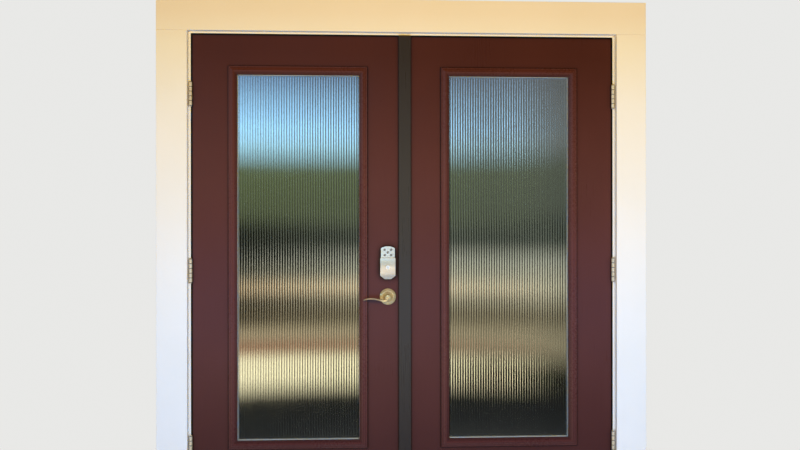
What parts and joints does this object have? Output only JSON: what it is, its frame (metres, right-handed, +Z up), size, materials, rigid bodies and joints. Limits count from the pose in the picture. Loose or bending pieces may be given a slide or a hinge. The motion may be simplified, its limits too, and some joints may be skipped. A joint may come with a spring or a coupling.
{
  "type": "french doors",
  "caption": "Outswing pair of glazed entry doors in their frame: painted leaves with full-height reeded lites, astragal bar, keypad lock with lever, butt hinges, threshold and flat casing.",
  "frame": {"origin": "on the underside of the sill, midway between the leaves, in the plane of the leaves' outer faces", "axes": "+X to the right seen from outside, +Y into the building, +Z up"},
  "size_m": [2.1188, 0.173, 2.2133],
  "materials": {
    "leaf_paint": "satin maroon paint over faint vertical grain",
    "lite_paint": "satin maroon paint on a moulded frame",
    "reeded_glass": "clear rolled glass with upright reeds",
    "clear_glass": "clear float glass",
    "spacer_metal": "bright mill finish",
    "frame_paint": "satin white paint",
    "casing_paint": "satin white paint",
    "seal_rubber": "soft dark brown seal",
    "sill_wood": "bare composite",
    "threshold_metal": "anodised",
    "bronze_bar": "dark bronze anodised",
    "cover_plastic": "brass coloured",
    "button_metal": "bright plated",
    "keypad_metal": "polished and lacquered",
    "polished_brass": "polished and lacquered"
  },
  "bodies": {
    "frame": {"flush_bolt_strikes": "polished_brass", "head_casing": "casing_paint", "head_jamb": "frame_paint", "head_weatherstrip": "seal_rubber", "hinge_pins": "polished_brass", "jamb_hinge_screws": "polished_brass", "left_casing": "casing_paint", "left_hinge_jamb_plates": "polished_brass", "left_jamb": "frame_paint", "left_weatherstrip": "seal_rubber", "right_casing": "casing_paint", "right_hinge_jamb_plates": "polished_brass", "right_jamb": "frame_paint", "right_weatherstrip": "seal_rubber", "sill_base": "sill_wood", "threshold": "threshold_metal"},
    "left_leaf": {"astragal": "bronze_bar", "astragal_seal": "seal_rubber", "deadbolt_case": "polished_brass", "inner_lock_cover": "cover_plastic", "inner_rose": "polished_brass", "keypad_housing": "keypad_metal", "latch_case": "polished_brass", "left_bottom_sweep": "seal_rubber", "left_glass_spacer": "spacer_metal", "left_hinge_leaf_plates": "polished_brass", "left_inner_lite_frame": "lite_paint", "left_inner_pane": "clear_glass", "left_leaf_hinge_screws": "polished_brass", "left_outer_lite_frame": "lite_paint", "left_reeded_pane": "reeded_glass", "left_slab": "leaf_paint", "outer_rose": "polished_brass"},
    "right_leaf": {"bottom_flush_bolt_plate": "polished_brass", "deadbolt_strike": "polished_brass", "latch_strike": "polished_brass", "right_bottom_sweep": "seal_rubber", "right_glass_spacer": "spacer_metal", "right_hinge_leaf_plates": "polished_brass", "right_inner_lite_frame": "lite_paint", "right_inner_pane": "clear_glass", "right_leaf_hinge_screws": "polished_brass", "right_outer_lite_frame": "lite_paint", "right_reeded_pane": "reeded_glass", "right_slab": "leaf_paint", "top_flush_bolt_plate": "polished_brass"},
    "lever_set": {"inner_lever": "polished_brass", "outer_lever": "polished_brass"},
    "latch": {"latch_bolt": "polished_brass"},
    "deadbolt_bolt": {"deadbolt": "polished_brass"},
    "thumb_turn": {"thumbturn": "polished_brass"},
    "key_cylinder": {"key_plug": "keypad_metal"},
    "button_1": {"keypad_button_1": "button_metal"},
    "button_2": {"keypad_button_2": "button_metal"},
    "button_3": {"keypad_button_3": "button_metal"},
    "button_4": {"keypad_button_4": "button_metal"},
    "button_5": {"keypad_button_5": "button_metal"},
    "top_flush_bolt": {"top_flush_bolt_rod": "polished_brass"},
    "bottom_flush_bolt": {"bottom_flush_bolt_rod": "polished_brass"}
  },
  "joints": [
    {"name": "left_leaf_swing", "type": "hinge", "parent": "frame", "child": "left_leaf", "pos_m": [-0.9179, -0.0065, 1], "axis": [0, 0, -1], "range_deg": [0, 120]},
    {"name": "right_leaf_swing", "type": "hinge", "parent": "frame", "child": "right_leaf", "pos_m": [0.9179, -0.0065, 1], "axis": [0, 0, 1], "range_deg": [0, 120]},
    {"name": "lever_turn", "type": "hinge", "parent": "left_leaf", "child": "lever_set", "pos_m": [-0.07185, 0, 0.929], "axis": [0, -1, 0], "range_deg": [0, 45], "stiffness_Nm_per_rad": 1.5, "springref_deg": -34.38},
    {"name": "latch_slide", "type": "slide", "parent": "left_leaf", "child": "latch", "axis": [1, 0, 0], "range_m": [-0.0127, 0]},
    {"name": "thumbturn_turn", "type": "hinge", "parent": "left_leaf", "child": "thumb_turn", "pos_m": [-0.07185, 0.08, 1.057], "axis": [0, 1, 0], "range_deg": [0, 90]},
    {"name": "deadbolt_slide", "type": "slide", "parent": "left_leaf", "child": "deadbolt_bolt", "axis": [1, 0, 0], "range_m": [0, 0.0254]},
    {"name": "key_turn", "type": "hinge", "parent": "left_leaf", "child": "key_cylinder", "pos_m": [-0.07185, -0.015, 1.057], "axis": [0, 1, 0], "range_deg": [-90, 90]},
    {"name": "button_1_press", "type": "slide", "parent": "left_leaf", "child": "button_1", "axis": [0, 1, 0], "range_m": [0, 0.0012], "stiffness_N_per_m": 800, "springref_m": -0.0006},
    {"name": "button_2_press", "type": "slide", "parent": "left_leaf", "child": "button_2", "axis": [0, 1, 0], "range_m": [0, 0.0012], "stiffness_N_per_m": 800, "springref_m": -0.0006},
    {"name": "button_3_press", "type": "slide", "parent": "left_leaf", "child": "button_3", "axis": [0, 1, 0], "range_m": [0, 0.0012], "stiffness_N_per_m": 800, "springref_m": -0.0006},
    {"name": "button_4_press", "type": "slide", "parent": "left_leaf", "child": "button_4", "axis": [0, 1, 0], "range_m": [0, 0.0012], "stiffness_N_per_m": 800, "springref_m": -0.0006},
    {"name": "button_5_press", "type": "slide", "parent": "left_leaf", "child": "button_5", "axis": [0, 1, 0], "range_m": [0, 0.0012], "stiffness_N_per_m": 800, "springref_m": -0.0006},
    {"name": "top_flush_bolt_slide", "type": "slide", "parent": "right_leaf", "child": "top_flush_bolt", "axis": [0, 0, 1], "range_m": [0, 0.019]},
    {"name": "bottom_flush_bolt_slide", "type": "slide", "parent": "right_leaf", "child": "bottom_flush_bolt", "axis": [0, 0, -1], "range_m": [0, 0.019]}
  ],
  "couplings": [
    {"joint": "latch_slide", "follows": "lever_turn", "m_per_rad": -0.01617},
    {"joint": "deadbolt_slide", "follows": "thumbturn_turn", "m_per_rad": 0.01617}
  ]
}
